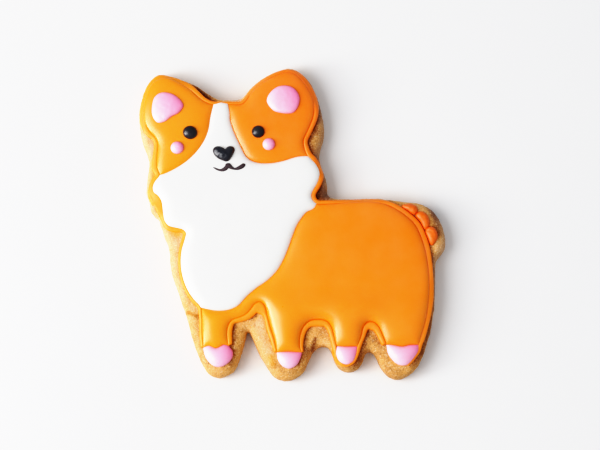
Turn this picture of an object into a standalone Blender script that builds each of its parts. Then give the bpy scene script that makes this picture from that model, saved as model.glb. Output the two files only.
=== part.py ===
"""Iced gingerbread biscuit, cut as a corgi that stands side-on and looks to the front.

A flat baked slab carries run-out icing: a white blaze, muzzle and chest, two halves of the head and the
coat in orange, and pink toes. A piped orange line runs round it all, but stops at three of the toes. Pink
ears and cheeks, black eyes, nose and mouth lie on the icing, and a row of drops makes the tail.

Metres, +Z up. The underside lies on z = 0, the origin is in the middle of its box, +Y points to the ears
and +X to the tail. The outlines below are in millimetres.
"""

from math import cos, pi, radians, sin

import bmesh
import bpy
import numpy as np
from mathutils.geometry import delaunay_2d_cdt

MM = 0.001
GAP = 0.3  # between pieces that touch

# Heights above the table, in millimetres.
BISCUIT_TOP = 7.0
ICING_BASE = BISCUIT_TOP + GAP
COAT_TOP = 9.1
WHITE_TOP = 9.3
TOE_TOP = 9.2

# Side of the biscuit, from the table up: (distance in from the widest outline, height).
BISCUIT_SIDE = ((0.5, 0.0), (0.0, 1.0), (0.0, 4.2), (0.25, 5.4), (0.75, 6.3))
SHOULDER = 2.0  # the top is level from here inwards

# An area of icing has an upright edge and rises to its full height over its slope.
ICING_WALL = 0.5
ICING_SLOPE = 2.8
ICING_RINGS = (0.4, 1.3, ICING_SLOPE)  # distances in from the edge of the rings of points
LEVEL_GRID = 6.0  # spacing of the points inside the last ring

# The piped line is a low rounded rope: narrow stretches are lower.
LINE_WALL = 0.25
LINE_LEAST_HEIGHT = 0.3
LINE_HEIGHT_PER_WIDTH = 0.8
LINE_HEIGHT = 1.5
LINE_ROWS = (0.25, 0.75)  # where its two upper rows of points run, as parts of its width

# Heights of the toppings above the icing, and of the drops of the tail above the biscuit.
EAR_HEIGHT = 0.6
CHEEK_HEIGHT = 0.8
EYE_HEIGHT = 1.0
NOSE_HEIGHT = 0.9
MOUTH_HEIGHT = 0.5
TAIL_HEIGHT = 1.6
TOPPING_WALL = 0.2
TOPPING_SLOPE = 1.2
FIRST_RING = 0.4
MOUTH_SLOPE = 0.5
MOUTH_RING = 0.28  # narrow enough for the thin end of the stroke

# How finely a curve is followed.
FINE = 16  # points worked out for each span
LARGEST_TURN = radians(15.0)
LARGEST_STEP = 4.0
MITRE_LIMIT = 0.55  # a sharper corner gets no longer normal than this one's
SMOOTH_ANGLE = radians(50.0)

# How close the points of a ring or a row may lie, as parts of its distance or width.
RING_REACH = 0.93
RING_SPACING = 0.45
LINE_REACH = 0.96
ROW_CLEARANCE = 0.15

# Widest outline of the biscuit, clockwise seen from above.
BISCUIT = (
    # left ear
    (-49.1, 31.5), (-49.0, 36.0), (-48.0, 40.5), (-46.2, 44.5), (-43.2, 47.0), (-39.5, 46.6),
    (-35.5, 45.3), (-32.0, 43.9), (-29.3, 42.25), (-26.8, 40.4),
    # crown
    (-23.8, 39.0), (-20.0, 38.8), (-16.9, 39.1),
    # right ear
    (-15.1, 40.6), (-12.9, 43.3), (-9.6, 45.9), (-5.4, 48.1), (-1.4, 49.0), (1.8, 48.0), (4.7, 45.3),
    (6.9, 41.5), (8.2, 37.6), (9.1, 34.3), (9.7, 31.0), (9.9, 28.2),
    # neck
    (9.3, 25.4), (8.5, 22.4), (8.3, 20.0), (8.8, 17.6), (9.8, 14.8), (10.6, 12.2), (10.9, 9.9), (11.0, 8.2),
    # back
    (12.3, 7.0), (15.5, 6.7), (20.0, 6.7), (25.0, 6.9), (29.5, 6.6), (34.5, 6.0),
    # rump behind the tail
    (39.5, 5.5), (42.2, 4.5), (44.4, 2.9), (46.3, 0.3), (47.6, -2.8), (48.3, -6.0), (47.9, -9.2),
    (46.5, -11.4), (45.4, -13.3), (45.0, -16.5), (44.95, -21.5), (44.7, -26.5), (44.0, -31.7),
    (42.9, -36.8), (41.7, -40.8), (40.3, -44.5), (38.3, -47.6), (35.5, -49.6), (32.4, -50.4),
    # between the hind legs
    (29.8, -49.2), (27.8, -46.8), (26.5, -44.0), (25.3, -42.3), (23.8, -41.7), (22.6, -42.7),
    # far hind leg
    (22.0, -44.6), (21.2, -46.2), (19.8, -47.5), (17.7, -48.15), (15.5, -47.6), (13.9, -46.2),
    (12.9, -44.2), (12.1, -42.0),
    # under the belly
    (11.0, -40.5), (9.5, -40.05), (7.8, -40.4), (6.4, -41.6),
    # near front leg
    (5.3, -43.6), (4.5, -45.8), (3.4, -48.1), (1.0, -49.9), (-2.4, -50.8), (-5.4, -49.9), (-7.6, -47.5),
    (-9.6, -44.2), (-11.5, -40.5), (-12.9, -37.6),
    # slit between the front legs
    (-13.8, -35.8), (-14.4, -35.7), (-14.9, -37.2),
    # far front leg
    (-16.1, -41.4), (-17.3, -45.0), (-18.6, -47.6), (-20.7, -49.1), (-23.6, -49.9), (-26.2, -49.0),
    (-28.1, -46.4), (-29.9, -42.6), (-31.4, -38.8), (-32.4, -35.0), (-33.7, -30.6),
    # chest
    (-35.0, -26.8), (-36.6, -22.2), (-38.1, -18.0), (-39.0, -13.5), (-39.2, -9.4), (-40.4, -6.1),
    (-41.9, -2.5), (-42.7, 0.3),
    # cheek
    (-44.1, 1.5), (-45.2, 3.1), (-45.6, 5.5), (-46.6, 8.2), (-46.5, 11.2), (-46.2, 14.4),
    (-45.8, 17.8), (-46.2, 20.2), (-47.4, 23.0), (-48.4, 27.0),
)

# Crease between the icing and the piped line round it, clockwise: (x, y, width of the line there). Each
# stretch begins where two areas of icing, or two strokes of the line, meet. The line stops at toes 1 and 2
# and on the inner side of toe 4, where the crease is the edge of the toe.
CREASE = {
    "left_ear": (
        (-42.3, 14.1, 1.5), (-43.2, 16.7, 1.5), (-43.2, 20.2, 1.3), (-42.9, 23.6, 1.2), (-43.6, 26.0, 1.1),
        (-45.5, 28.1, 1.3), (-47.1, 30.9, 1.3), (-47.7, 34.1, 1.15), (-47.5, 37.6, 0.95), (-46.5, 41.1, 0.95),
        (-45.0, 43.7, 1.0), (-42.9, 45.2, 1.05), (-40.3, 45.6, 0.75), (-37.9, 44.7, 1.0), (-34.5, 42.8, 1.3),
        (-32.1, 41.2, 1.3), (-30.0, 39.1, 1.3), (-27.6, 37.6, 1.0),
    ),
    "crown": ((-25.3, 37.0, 0.9), (-23.1, 37.5, 0.4)),
    "right_ear": (
        (-20.9, 37.1, 0.7), (-18.5, 36.9, 0.9), (-16.2, 37.1, 0.9), (-14.7, 38.5, 0.9), (-13.3, 40.8, 0.9),
        (-11.0, 43.1, 1.0), (-7.6, 45.3, 0.9), (-4.2, 46.9, 0.8), (-1.5, 47.5, 0.6), (0.6, 46.9, 0.9),
        (3.0, 44.7, 1.1), (5.2, 41.3, 1.2), (6.6, 37.5, 1.1), (6.65, 33.8, 1.1), (5.5, 30.2, 1.2),
        (3.9, 27.0, 1.2), (3.3, 24.9, 1.2), (3.7, 22.6, 1.3),
    ),
    "neck": (
        (4.8, 20.1, 1.4), (6.4, 18.6, 1.2), (7.8, 16.5, 0.8), (8.35, 14.4, 1.0), (7.9, 12.2, 1.2),
        (6.8, 10.0, 1.2), (5.9, 8.4, 1.3), (5.75, 7.2, 1.3), (6.3, 5.9, 1.3),
    ),
    "back": (
        (7.4, 5.0, 1.2), (9.5, 4.75, 1.1), (13.0, 5.0, 0.9), (18.0, 5.35, 0.7), (24.0, 5.6, 0.6),
        (28.0, 5.2, 0.8), (32.0, 3.6, 1.2), (35.8, 1.05, 1.4), (38.8, -2.0, 1.5), (40.6, -6.0, 1.6),
        (41.8, -10.0, 1.5), (42.6, -15.0, 1.3), (42.9, -20.5, 1.2), (42.6, -26.0, 1.3), (41.7, -32.0, 1.2),
        (40.2, -37.2, 1.3),
    ),
    "toe_4_outer": ((39.5, -39.8, 1.0), (39.3, -41.7, 0.6), (37.7, -44.2, 0.45)),
    "toe_4_inner": ((35.8, -46.0, 0.4), (33.4, -46.1, 0.4), (31.3, -44.6, 0.6), (29.8, -42.2, 0.8)),
    "hind_arch": (
        (29.4, -39.8, 1.3), (28.2, -36.9, 1.5), (27.1, -34.3, 1.9), (25.5, -32.8, 2.6), (23.6, -32.7, 2.6),
        (22.2, -34.1, 1.7), (21.5, -37.0, 1.1),
    ),
    "toe_3_outer": ((20.3, -40.3, 1.0), (19.8, -42.9, 0.7), (18.8, -45.1, 0.5)),
    "toe_3_inner": ((16.8, -46.1, 0.5), (14.6, -45.1, 0.7), (13.5, -42.8, 1.0)),
    "belly_arch": (
        (13.6, -40.2, 1.2), (12.9, -37.3, 1.2), (12.1, -34.2, 1.5), (10.5, -32.3, 1.8), (8.0, -31.9, 2.0),
        (5.4, -32.3, 1.8), (3.3, -34.2, 1.4), (2.2, -37.5, 1.2), (2.2, -40.4, 0.9),
    ),
    "toe_2_outer": ((2.7, -42.2, 0.5), (2.3, -43.9, 0.4), (1.2, -46.0, 0.4)),
    "toe_2_inner": ((-1.0, -47.2, 0.4), (-3.2, -46.5, 0.4), (-4.7, -44.4, 0.6)),
    "front_arch": (
        (-5.0, -42.2, 0.8), (-5.8, -38.5, 1.1), (-7.1, -34.3, 1.2), (-8.2, -30.2, 1.2), (-8.9, -27.6, 1.6),
        (-10.2, -26.3, 2.8), (-11.8, -26.8, 2.6), (-13.2, -28.6, 2.0), (-14.6, -30.1, 1.7),
        (-16.6, -31.1, 1.4),
    ),
    "leg_1_back": ((-19.2, -32.1, 1.2), (-20.4, -34.0, 1.4), (-20.7, -37.3, 1.4)),
    "toe_1_outer": ((-20.1, -40.3, 1.0), (-19.1, -41.7, 0.4), (-18.95, -43.2, 0.4), (-20.1, -45.2, 0.4)),
    "toe_1_inner": ((-22.4, -46.6, 0.4), (-24.6, -46.5, 0.4), (-26.5, -45.0, 0.5), (-27.7, -42.9, 0.6)),
    "leg_1_front": ((-28.1, -40.7, 0.7), (-28.5, -36.5, 0.8), (-28.6, -32.0, 0.8)),
    "chest": (
        (-29.0, -28.0, 0.9), (-30.4, -26.3, 0.9), (-32.1, -24.3, 0.9), (-34.0, -20.6, 0.9),
        (-35.1, -16.5, 0.8), (-35.35, -12.3, 0.8), (-34.8, -8.5, 0.9), (-34.0, -5.9, 0.9),
        (-33.8, -4.4, 0.9), (-34.9, -3.2, 1.0), (-37.2, -2.6, 1.4), (-39.3, -2.0, 1.3), (-40.6, -0.3, 0.9),
        (-41.2, 3.0, 0.6), (-41.7, 5.9, 1.2), (-42.8, 7.6, 1.6), (-44.1, 8.7, 1.5), (-44.4, 10.3, 1.2),
        (-43.7, 12.1, 1.2),
    ),
}

# Edges between two areas of icing, without the ends that they share with the crease.
DIVIDERS = {
    "blaze_left": (
        (-26.1, 34.2), (-26.5, 31.0), (-27.4, 27.1), (-29.3, 23.5), (-32.2, 20.0), (-35.8, 17.2),
        (-39.2, 15.2),
    ),
    "blaze_right": (
        (-20.3, 34.6), (-20.2, 32.2), (-19.2, 28.8), (-17.5, 25.1), (-16.0, 21.7), (-14.2, 19.3),
        (-11.5, 18.1), (-7.6, 17.9), (-3.6, 18.5), (0.2, 19.7), (2.9, 20.2),
    ),
    "shoulder": (
        (6.6, 3.5), (4.2, 2.2), (2.4, -0.1), (0.8, -2.6), (-0.4, -6.0), (-1.6, -9.4), (-3.2, -13.2),
        (-5.4, -16.8), (-8.6, -19.9), (-12.1, -22.3), (-15.1, -25.0), (-17.4, -27.5), (-20.4, -28.8),
        (-24.2, -29.05), (-27.3, -28.5),
    ),
    "toe_4": ((37.4, -39.8), (34.3, -40.4), (31.8, -39.9)),
    "toe_3": ((17.0, -40.4),),
    "toe_2": ((-1.5, -42.0),),
    "toe_1": ((-21.6, -39.8), (-24.1, -40.9), (-26.4, -40.1)),
}

# Pieces that lie on the icing: closed outlines, clockwise.
EAR_LEFT = (
    (-45.0, 35.6), (-44.2, 39.0), (-42.3, 40.5), (-39.3, 40.4), (-36.7, 39.0), (-34.9, 36.4), (-36.2, 34.1),
    (-38.7, 32.7), (-40.9, 31.1), (-43.2, 30.9), (-44.7, 32.9),
)
EAR_RIGHT = (
    (-8.4, 37.9), (-7.3, 40.6), (-4.9, 42.5), (-1.7, 42.8), (0.7, 41.6), (2.1, 38.9), (1.6, 35.9),
    (0.0, 34.0), (-3.2, 33.8), (-6.4, 34.8),
)
NOSE = (
    (-25.5, 21.7), (-25.3, 22.5), (-24.7, 23.0), (-23.8, 23.2), (-22.8, 23.0), (-22.1, 22.65), (-21.6, 22.3),
    (-21.1, 22.8), (-20.4, 23.2), (-19.7, 23.25), (-19.0, 23.0), (-18.6, 22.4), (-18.6, 21.6),
    (-19.05, 20.5), (-19.75, 19.3), (-20.4, 18.5), (-21.2, 18.2), (-22.1, 18.45), (-23.4, 19.0),
    (-24.4, 19.7), (-25.2, 20.7),
)

# Smile, as wide as the stroke that draws it: pointed on the left, blunt on the right.
MOUTH = (
    (-25.4, 16.4), (-24.6, 16.25), (-23.9, 15.95), (-23.05, 15.8), (-22.2, 16.2), (-21.6, 16.8),
    (-21.35, 17.45), (-20.85, 17.7), (-20.2, 17.7), (-19.7, 17.3), (-19.2, 16.65), (-18.5, 16.2),
    (-17.6, 16.6), (-16.75, 17.15), (-15.8, 17.7), (-15.1, 17.25), (-15.45, 16.5), (-16.15, 15.95),
    (-17.0, 15.6), (-18.0, 15.5), (-18.9, 15.6), (-19.8, 15.8), (-20.45, 16.05), (-21.05, 15.45),
    (-22.0, 15.05), (-23.0, 15.05), (-24.05, 15.4), (-24.85, 15.85),
)

# Drops that make the tail, each with a round head and a short end that runs down to the line.
TAIL = (
    (
        (34.9, 4.05), (35.3, 4.8), (36.05, 5.35), (36.9, 5.5), (37.8, 5.3), (38.45, 4.75), (38.95, 3.9),
        (39.25, 3.05), (39.1, 2.3), (38.5, 1.75), (37.7, 2.05), (36.95, 2.65), (35.9, 3.4),
    ),
    (
        (39.1, 1.2), (39.55, 1.95), (40.3, 2.3), (41.3, 2.1), (42.15, 1.4), (42.7, 0.35), (42.95, -0.85),
        (42.9, -1.95), (42.4, -2.7), (41.85, -3.0), (41.35, -2.15), (40.6, -0.75), (39.75, 0.35),
    ),
    (
        (42.15, -4.0), (42.35, -3.15), (43.15, -2.6), (44.15, -2.7), (45.0, -3.5), (45.45, -4.8),
        (45.35, -6.1), (44.8, -7.1), (43.95, -8.0), (43.45, -7.4), (42.85, -5.8),
    ),
)
TAIL_HALF_WIDTH = 1.5

# Round dots: (x, y, half length, half width, turn in degrees).
EYE_LEFT = (-32.75, 27.65, 2.3, 2.15, -15.0)
EYE_RIGHT = (-11.1, 27.9, 2.05, 2.0, 0.0)
CHEEK_LEFT = (-36.8, 22.75, 2.1, 2.0, 0.0)
CHEEK_RIGHT = (-7.7, 23.85, 2.0, 1.95, 0.0)
DOT_SIDES = 16

ORANGE = (0.955, 0.250, 0.012)
WHITE = (0.930, 0.920, 0.900)
PINK = (0.950, 0.560, 0.750)
BLACK = (0.018, 0.017, 0.024)
BISCUIT_BROWN = (0.680, 0.380, 0.140)


def curve(points, closed=False):
    """Fine centripetal Catmull-Rom points, one array for each span, that pass through the given points."""
    points = np.array(points, float)
    if closed:
        guides = np.vstack((points[-1:], points, points[:2]))
    else:
        guides = np.vstack((2 * points[0] - points[1], points, 2 * points[-1] - points[-2]))
    spans = []
    for a, b, c, d in zip(guides, guides[1:], guides[2:], guides[3:]):
        steps = [np.linalg.norm(q[:2] - p[:2]) ** 0.5 for p, q in ((a, b), (b, c), (c, d))]
        knots = np.cumsum([0.0] + steps)
        t = np.linspace(knots[1], knots[2], FINE, endpoint=False)[:, None]

        def blend(p, q, start, end):
            return (p * (end - t) + q * (t - start)) / (end - start)

        ab, bc, cd = (blend(p, q, s, e) for p, q, s, e in zip((a, b, c), (b, c, d), knots, knots[1:]))
        abc, bcd = blend(ab, bc, knots[0], knots[2]), blend(bc, cd, knots[1], knots[3])
        spans.append(blend(abc, bcd, knots[1], knots[2]))
    if not closed:
        spans[-1] = np.vstack((spans[-1], points[-1]))
    return spans


def thin(fine):
    """Fewer points of a fine curve: one after each large enough turn or step. The first one stays."""
    kept = [0]
    turn = 0.0
    for i in range(1, len(fine) - 1):
        before = fine[i, :2] - fine[i - 1, :2]
        after = fine[i + 1, :2] - fine[i, :2]
        turn += abs(np.arctan2(before[0] * after[1] - before[1] * after[0], before @ after))
        step = np.linalg.norm(fine[i, :2] - fine[kept[-1], :2])
        if turn > LARGEST_TURN or step > LARGEST_STEP:
            kept.append(i)
            turn = 0.0
    return fine[kept]


def open_curve(points):
    """Sparse points along an open curve, both ends included."""
    fine = np.vstack(curve(points))
    return np.vstack((thin(fine), fine[-1:]))


def closed_curve(points):
    return thin(np.vstack(curve(points, closed=True)))


def sides(path, closed):
    """Unit normals at each point of a path, to the left of travel, longer where the path turns."""
    path = path[:, :2]
    if closed:
        before, after = path - np.roll(path, 1, 0), np.roll(path, -1, 0) - path
    else:
        steps = np.diff(path, axis=0)
        before, after = np.vstack((steps[:1], steps)), np.vstack((steps, steps[-1:]))
    before /= np.linalg.norm(before, axis=1)[:, None]
    after /= np.linalg.norm(after, axis=1)[:, None]
    along = before + after
    normal = np.stack((-along[:, 1], along[:, 0]), 1)
    normal /= np.linalg.norm(normal, axis=1)[:, None]
    across = -before[:, 1] * normal[:, 0] + before[:, 0] * normal[:, 1]
    return normal / np.maximum(across, MITRE_LIMIT)[:, None]


def grown(outline, distance):
    """A clockwise closed outline, moved outwards."""
    return outline[:, :2] + sides(outline, True) * distance


def distances(points, outline, closed=True):
    """Distance of each point from a polyline."""
    start = outline[:, :2] if closed else outline[:-1, :2]
    run = (np.roll(outline[:, :2], -1, 0) - outline[:, :2])[: len(start)]
    offset = points[:, None, :2] - start[None]
    along = np.clip((offset * run).sum(2) / (run * run).sum(1), 0.0, 1.0)
    return np.linalg.norm(offset - along[..., None] * run, axis=2).min(1)


def inside(points, outline):
    """Which points lie inside a closed outline."""
    x, y = points[:, :1], points[:, 1:2]
    x0, y0 = outline[:, 0], outline[:, 1]
    x1, y1 = np.roll(x0, -1), np.roll(y0, -1)
    rise = np.where(y1 == y0, 1e-12, y1 - y0)
    crossed = ((y0 > y) != (y1 > y)) & (x < x0 + (y - y0) * (x1 - x0) / rise)
    return crossed.sum(1) % 2 == 1


def spread(outline, rings):
    """Points inside an outline: on rings at the given distances, and on a wide grid within the last ring."""
    found = []
    for ring in rings:
        candidates = grown(outline, -ring)
        candidates = candidates[inside(candidates, outline)]
        for point in candidates[distances(candidates, outline) > RING_REACH * ring]:
            if all(np.linalg.norm(point - other) > RING_SPACING * ring for other in found):
                found.append(point)
    low, high = outline[:, :2].min(0), outline[:, :2].max(0)
    grid = np.stack(np.meshgrid(*(np.arange(a, b, LEVEL_GRID) for a, b in zip(low, high))), -1).reshape(-1, 2)
    grid = grid[inside(grid, outline)]
    found.extend(grid[distances(grid, outline) > rings[-1] + LEVEL_GRID / 3])
    return np.array(found).reshape(-1, 2)


def triangles(outline, within):
    """Triangles that fill a closed outline through the points within it, as indices into both."""
    count = len(outline)
    points = [tuple(map(float, p[:2])) for p in (*outline, *within)]
    rim = [(i, (i + 1) % count) for i in range(count)]
    _, _, faces, origins, _, _ = delaunay_2d_cdt(points, rim, [], 1, 1e-6)
    return [[origins[i][0] for i in face] for face in faces]


def solid(name, material, rings, within):
    """Closed body from rings of points, the lowest first, with a flat base and a top through more points."""
    mesh = bpy.data.meshes.new(name)
    build = bmesh.new()
    levels = [[build.verts.new((*point, z)) for point in ring] for ring, z in rings]
    crest = levels[-1] + [build.verts.new(point) for point in within]
    count = len(levels[0])
    for low, high in zip(levels, levels[1:]):
        for i in range(count):
            j = (i + 1) % count
            build.faces.new((low[i], low[j], high[j], high[i]))
    build.faces.new(levels[0])
    for face in triangles(rings[-1][0], within):
        build.faces.new([crest[i] for i in face])
    bmesh.ops.scale(build, vec=(MM, MM, MM), verts=build.verts)
    bmesh.ops.recalc_face_normals(build, faces=build.faces)
    build.to_mesh(mesh)
    build.free()
    mesh.materials.append(material)
    mesh.shade_smooth()
    mesh.set_sharp_from_angle(angle=SMOOTH_ANGLE)
    part = bpy.data.objects.new(name, mesh)
    bpy.context.scene.collection.objects.link(part)
    return part


def finish(name, colour, roughness):
    """Principled material."""
    material = bpy.data.materials.new(name)
    material.use_nodes = True
    shader = material.node_tree.nodes["Principled BSDF"]
    shader.inputs["Base Color"].default_value = (*colour, 1.0)
    shader.inputs["Roughness"].default_value = roughness
    shader.inputs["Metallic"].default_value = 0.0
    return material


def biscuit(centre, material):
    """Baked slab: a side that leans in at the table, a soft shoulder and a level top."""
    outline = closed_curve(BISCUIT) - centre
    rings = [(grown(outline, -inset), z) for inset, z in BISCUIT_SIDE]
    rim, rim_height = rings[-1]
    width = SHOULDER - BISCUIT_SIDE[-1][0]
    points = spread(rim, (0.5 * width, width))
    rise = np.clip(distances(points, rim) / width, 0.0, 1.0)
    heights = rim_height + (BISCUIT_TOP - rim_height) * (1.0 - (1.0 - rise) ** 2)
    return solid("biscuit", material, rings, np.column_stack((points, heights)))


def icing(name, material, outline, base, top, slope=ICING_SLOPE, rings=ICING_RINGS, wall=ICING_WALL):
    """Area of icing with an upright edge, rounding up to a level top."""
    points = spread(outline, rings)
    rise = np.clip(distances(points, outline) / slope, 0.0, 1.0)
    heights = base + wall + (top - base - wall) * np.sqrt(1.0 - (1.0 - rise) ** 2)
    edge = outline[:, :2]
    return solid(name, material, [(edge, base), (edge, base + wall)], np.column_stack((points, heights)))


def piped_line(name, material, path, crease):
    """Rounded stroke on the left of a path of (x, y, width, normal), clear of all the crease on that side."""
    width, normal = path[:, 2:3], path[:, 3:5]
    inner = path[:, :2] + normal * GAP / 2
    for end, following in ((0, 1), (-1, -2)):
        along = inner[following] - inner[end]
        inner[end] += along / np.linalg.norm(along) * GAP / 2
    outer = inner + normal * width
    onward = np.column_stack((normal[:, 1], -normal[:, 0]))
    reach = LINE_REACH * (GAP / 2 + width[:, 0])
    kept = distances(outer, crease) > reach
    kept[[0, -1]] = True
    while True:
        used = np.flatnonzero(kept)
        backward = ((outer[used[1:]] - outer[used[:-1]]) * onward[used[:-1]]).sum(1) <= 0.0
        if not backward[1:].any():
            break
        kept[used[1:-1][backward[1:]]] = False
    outline = np.vstack((inner, outer[kept][::-1]))
    points = []
    heights = []
    for part in LINE_ROWS:
        row = inner + normal * width * part
        fits = inside(row, outline) & (distances(row, outline) > ROW_CLEARANCE * width[:, 0])
        points.append(row[fits])
        height = LINE_LEAST_HEIGHT + LINE_HEIGHT_PER_WIDTH * width[fits, 0]
        heights.append(ICING_BASE + np.minimum(LINE_HEIGHT, height))
    within = np.column_stack((np.vstack(points), np.concatenate(heights)))
    return solid(name, material, [(outline, ICING_BASE), (outline, ICING_BASE + LINE_WALL)], within)


def oval(dot, centre):
    """Clockwise outline of a dot."""
    x, y, long, wide, turn = dot
    turn = radians(turn)
    angles = [-2 * pi * i / DOT_SIDES for i in range(DOT_SIDES)]
    local = np.array([(long * cos(a), wide * sin(a)) for a in angles])
    turned = local @ ((cos(turn), sin(turn)), (-sin(turn), cos(turn)))
    return turned + (x, y) - centre


def drop(name, material, outline, half_width, base, height):
    """Domed drop of icing."""
    rings = (0.3 * half_width, 0.75 * half_width)
    return icing(name, material, outline, base, base + height, half_width, rings, TOPPING_WALL)


def crease_stretches(centre):
    """The whole crease as one closed curve of (x, y, width, normal), and its named stretches."""
    marks = [point for points in CREASE.values() for point in points]
    spans = curve(marks, closed=True)
    sparse = []
    for points in CREASE.values():
        own, spans = spans[: len(points)], spans[len(points):]
        sparse.append(thin(np.vstack(own)) - (*centre, 0.0))
    loop = np.vstack(sparse)
    loop = np.column_stack((loop, sides(loop, True)))
    ends = np.cumsum([len(points) for points in sparse])
    return loop, dict(zip(CREASE, np.split(loop, ends[:-1])))


def divider(name, start, end, centre):
    """Sparse points of the edge between two areas of icing, both ends included."""
    return open_curve((start, *(np.array(DIVIDERS[name]) - centre), end))


def build():
    for old in list(bpy.data.objects):
        bpy.data.objects.remove(old)

    orange = finish("orange icing", ORANGE, 0.35)
    white = finish("white icing", WHITE, 0.35)
    pink = finish("pink icing", PINK, 0.30)
    black = finish("black icing", BLACK, 0.30)
    baked = finish("baked gingerbread", BISCUIT_BROWN, 0.80)

    outline = closed_curve(BISCUIT)
    centre = (outline.min(0) + outline.max(0)) / 2
    biscuit(centre, baked)

    whole, crease = crease_stretches(centre)
    names = list(crease)
    starts = {name: crease[name][0, :2] for name in names}

    def run(*stretches):
        """Named stretches one after another, up to the start of the next one."""
        after = names[(names.index(stretches[-1]) + 1) % len(names)]
        return np.vstack([crease[name] for name in stretches] + [crease[after][:1]])

    def edge(*stretches):
        return run(*stretches)[:, :2]

    blaze_left = divider("blaze_left", starts["crown"], starts["left_ear"], centre)
    blaze_right = divider("blaze_right", starts["right_ear"], starts["neck"], centre)
    shoulder = divider("shoulder", starts["back"], starts["chest"], centre)
    toe_edges = {
        4: divider("toe_4", starts["toe_4_outer"], starts["hind_arch"], centre),
        3: divider("toe_3", starts["toe_3_outer"], starts["belly_arch"], centre),
        2: divider("toe_2", starts["toe_2_outer"], starts["front_arch"], centre),
        1: divider("toe_1", starts["toe_1_outer"], starts["leg_1_front"], centre),
    }

    def area(name, material, top, *edges):
        """Area of icing inside edges that follow one another clockwise."""
        loop = np.vstack([piece[:-1] for piece in edges])
        return icing(name, material, grown(loop, -GAP / 2), ICING_BASE, top)

    area("icing_head_left", orange, COAT_TOP, edge("left_ear"), blaze_left)
    area("icing_head_right", orange, COAT_TOP, edge("right_ear"), blaze_right[::-1])
    area(
        "icing_white", white, WHITE_TOP,
        edge("crown"), blaze_right, edge("neck"), shoulder, edge("chest"), blaze_left[::-1],
    )
    area(
        "icing_coat", orange, COAT_TOP,
        edge("back"), toe_edges[4], edge("hind_arch"), toe_edges[3], edge("belly_arch"), toe_edges[2],
        edge("front_arch", "leg_1_back"), toe_edges[1], edge("leg_1_front"), shoulder[::-1],
    )
    for number, top_edge in toe_edges.items():
        sole = edge(f"toe_{number}_outer", f"toe_{number}_inner")
        area(f"toe_{number}", pink, TOE_TOP, sole, top_edge[::-1])

    def line(name, *stretches):
        """Stroke of the piped line outside the named stretches."""
        piped_line(f"line_{name}", orange, run(*stretches), whole)

    line("head", "left_ear", "crown", "right_ear", "neck")
    line("back", "back", "toe_4_outer")
    line("hind_legs", "hind_arch", "toe_3_outer")
    line("belly", "toe_3_inner", "belly_arch")
    line("front_legs", "front_arch")
    line("leg_1", "leg_1_back")
    line("chest", "leg_1_front", "chest")

    def topping(name, material, outline, base, height, slope, rings):
        """Low piece with its own outline that lies on the icing."""
        loop = closed_curve(outline) - centre
        icing(name, material, loop, base, base + height, slope, rings, TOPPING_WALL)

    on_coat = COAT_TOP + GAP
    on_white = WHITE_TOP + GAP
    wide_rings = (FIRST_RING, TOPPING_SLOPE)
    topping("ear_left", pink, EAR_LEFT, on_coat, EAR_HEIGHT, TOPPING_SLOPE, wide_rings)
    topping("ear_right", pink, EAR_RIGHT, on_coat, EAR_HEIGHT, TOPPING_SLOPE, wide_rings)
    topping("nose", black, NOSE, on_white, NOSE_HEIGHT, TOPPING_SLOPE, wide_rings)
    topping("mouth", black, MOUTH, on_white, MOUTH_HEIGHT, MOUTH_SLOPE, (MOUTH_RING,))
    dots = (
        ("eye_left", black, EYE_LEFT, EYE_HEIGHT), ("eye_right", black, EYE_RIGHT, EYE_HEIGHT),
        ("cheek_left", pink, CHEEK_LEFT, CHEEK_HEIGHT), ("cheek_right", pink, CHEEK_RIGHT, CHEEK_HEIGHT),
    )
    for name, material, dot, height in dots:
        drop(name, material, oval(dot, centre), min(dot[2:4]), on_coat, height)
    for number, points in enumerate(TAIL, 1):
        tail_outline = closed_curve(points) - centre
        drop(f"tail_bead_{number}", orange, tail_outline, TAIL_HALF_WIDTH, ICING_BASE, TAIL_HEIGHT)



build()
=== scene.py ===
"""Looks of an iced gingerbread biscuit: a corgi that stands side-on, cut from dough and iced in four colours.

Run as a script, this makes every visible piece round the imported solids, then a pale table, a soft light and
a camera. Outlines come from the solids. +Z is up, +Y points to the ears and +X to the tail. Shapes are worked
out in millimetres and scaled to metres when a mesh is made.
"""

from math import ceil, cos, hypot, pi, radians, sin

import bpy
import numpy as np
from bpy.props import FloatProperty, FloatVectorProperty, PointerProperty
from bpy.types import Operator, Panel, PropertyGroup
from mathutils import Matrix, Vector, noise
from mathutils.bvhtree import BVHTree
from mathutils.geometry import delaunay_2d_cdt
from mathutils.kdtree import KDTree


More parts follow.
